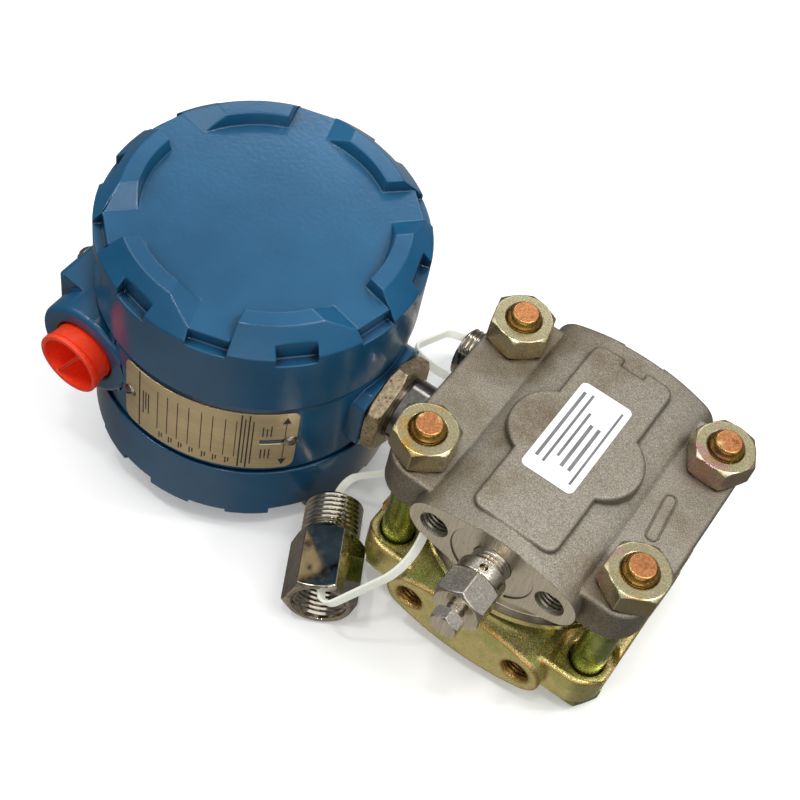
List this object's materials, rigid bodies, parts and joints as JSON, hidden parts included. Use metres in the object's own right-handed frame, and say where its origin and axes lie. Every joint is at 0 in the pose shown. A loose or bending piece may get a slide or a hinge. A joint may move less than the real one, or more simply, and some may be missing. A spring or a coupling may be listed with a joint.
{
  "type": "pressure transmitter",
  "caption": "Flange-mounted pressure transmitter: blue round electronics housing with castellated screw covers beside a bolted stainless sensor flange stack with a vent valve.",
  "frame": {"origin": "centre of the open process port's mouth, on its spot face", "axes": "+Y out of the open process port, +X along the neck from the housing to the sensor, +Z along the upper cover's axis"},
  "size_m": [0.2239, 0.1434, 0.106],
  "materials": {
    "blue_paint": "gloss",
    "black_rubber": "matte",
    "plate_steel": "brushed",
    "stainless": "turned",
    "red_plastic": "gloss",
    "white_seal": "matte",
    "cast_stainless": "sand cast",
    "yellow_zinc": "yellow chromate",
    "white_paper": "satin",
    "black_moulding": "matte",
    "brass_screw": "satin",
    "green_board": "satin",
    "dark_nickel": "plated",
    "natural_nylon": "satin"
  },
  "bodies": {
    "transmitter": {"electronics_housing": "blue_paint", "nameplate": "plate_steel", "nameplate_screws": "stainless", "ground_screw": "stainless", "neck_lock_nut": "stainless", "sensor_module": "stainless", "isolating_diaphragms": "stainless", "process_orings": "white_seal", "process_flange": "cast_stainless", "blank_flange": "yellow_zinc", "flange_bolts": "yellow_zinc", "flange_nuts": "yellow_zinc", "vent_valve_seat": "stainless", "flange_label": "white_paper", "terminal_block": "black_moulding", "terminal_screws": "brass_screw", "amplifier_board": "green_board", "calibration_board": "green_board", "board_spacers": "brass_screw", "board_screws": "stainless", "feedthrough_pins": "brass_screw", "conduit_adapter": "dark_nickel", "rear_conduit_adapter": "dark_nickel", "cable_tie": "natural_nylon", "rear_cable_tie": "natural_nylon"},
    "upper_seal": {"upper_cover_oring": "black_rubber"},
    "upper_cover": {"upper_cover": "blue_paint"},
    "lower_seal": {"lower_cover_oring": "black_rubber"},
    "lower_cover": {"lower_cover": "blue_paint"},
    "vent_ball": {"vent_ball": "stainless"},
    "vent_screw": {"vent_valve_screw": "stainless"},
    "conduit_plug": {"conduit_plug": "red_plastic"}
  },
  "joints": [
    {"name": "upper_cover_lift", "type": "slide", "parent": "transmitter", "child": "upper_seal", "axis": [0, 0, 1], "range_m": [0, 0.027]},
    {"name": "upper_cover_turn", "type": "hinge", "parent": "upper_seal", "child": "upper_cover", "pos_m": [-0.1203, -0.0437, -0.024], "axis": [0, 0, 1], "range_deg": [0, 3240]},
    {"name": "lower_cover_drop", "type": "slide", "parent": "transmitter", "child": "lower_seal", "axis": [0, 0, -1], "range_m": [0, 0.027]},
    {"name": "lower_cover_turn", "type": "hinge", "parent": "lower_seal", "child": "lower_cover", "pos_m": [-0.1203, -0.0437, -0.024], "axis": [0, 0, -1], "range_deg": [0, 3240]},
    {"name": "vent_ball_travel", "type": "slide", "parent": "transmitter", "child": "vent_ball", "axis": [0, -1, 0], "range_m": [0, 0.0036]},
    {"name": "vent_screw_turn", "type": "hinge", "parent": "vent_ball", "child": "vent_screw", "pos_m": [0, -0.0879, 0], "axis": [0, -1, 0], "range_deg": [0, 1440]},
    {"name": "conduit_plug_pull", "type": "slide", "parent": "transmitter", "child": "conduit_plug", "axis": [0, -1, 0], "range_m": [0, 0.014]}
  ],
  "couplings": [
    {"joint": "upper_cover_lift", "follows": "upper_cover_turn", "m_per_rad": 0.00047746},
    {"joint": "lower_cover_drop", "follows": "lower_cover_turn", "m_per_rad": 0.00047746},
    {"joint": "vent_screw_turn", "follows": "vent_ball_travel", "rad_per_m": 6981.3}
  ]
}
